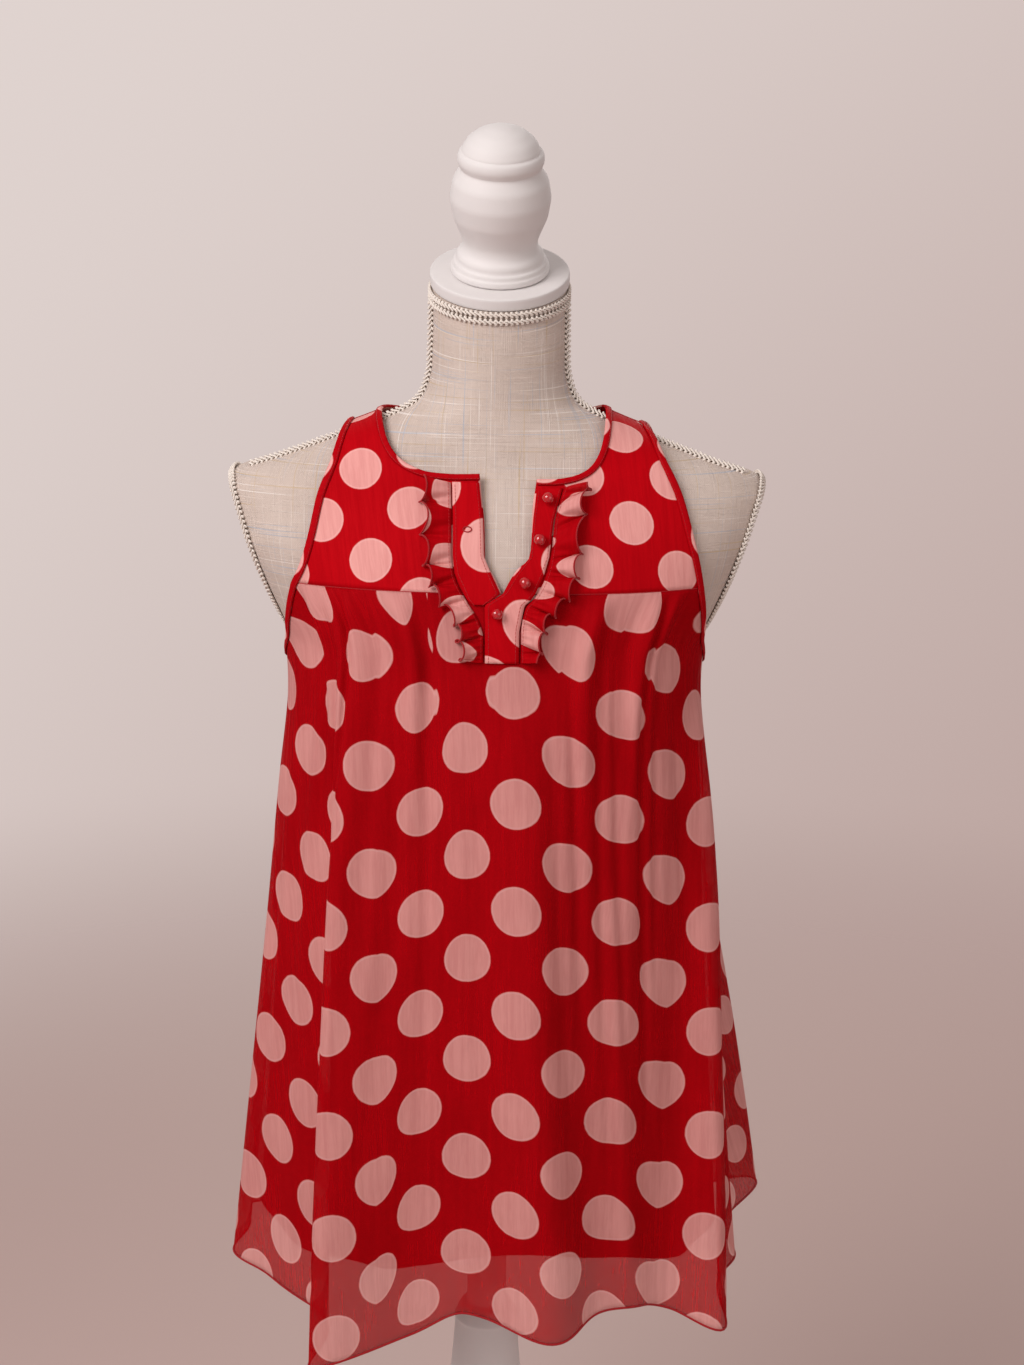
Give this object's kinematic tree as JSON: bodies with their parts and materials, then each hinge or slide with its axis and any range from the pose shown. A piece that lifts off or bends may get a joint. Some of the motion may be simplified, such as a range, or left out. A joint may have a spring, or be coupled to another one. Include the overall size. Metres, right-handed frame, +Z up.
{
  "type": "sleeveless babydoll dress on a dress form",
  "caption": "Sleeveless dotted chiffon babydoll dress with a ruffled open placket and a shorter lining, worn by a limbless dress form on a turned stand.",
  "frame": {"origin": "centre of the underside of the stand's foot, on the floor, on the pole's axis", "axes": "+Z up, -Y towards the front of the dress, +X to the right as seen from the front"},
  "size_m": [0.436, 0.3191, 1.3957],
  "materials": {
    "red_chiffon": "sheer crinkled chiffon with a staggered print of pale dots",
    "red_lining": "plain smooth red lining",
    "red_button": "glossy red balls",
    "natural_linen": "slubby natural linen stretched over the form",
    "cream_braid": "looped cream gimp braid",
    "white_paint": "turned wood painted white, satin"
  },
  "bodies": {
    "root": {"front_yoke_left": "red_chiffon", "front_yoke_right": "red_chiffon", "back_yoke": "red_chiffon", "skirt_front": "red_chiffon", "skirt_back": "red_chiffon", "lining_front": "red_lining", "lining_back": "red_lining", "placket_left": "red_chiffon", "placket_right": "red_chiffon", "ruffle_left": "red_chiffon", "ruffle_right": "red_chiffon", "neck_binding": "red_chiffon", "armhole_binding_left": "red_chiffon", "armhole_binding_right": "red_chiffon", "button_1": "red_button", "button_2": "red_button", "button_3": "red_button", "button_4": "red_button", "form_body": "natural_linen", "braid_neck": "cream_braid", "braid_shoulder_left": "cream_braid", "braid_shoulder_right": "cream_braid", "braid_plate_left": "cream_braid", "braid_plate_right": "cream_braid", "neck_cap": "white_paint", "finial": "white_paint", "pole": "white_paint", "foot": "white_paint"}
  },
  "joints": []
}
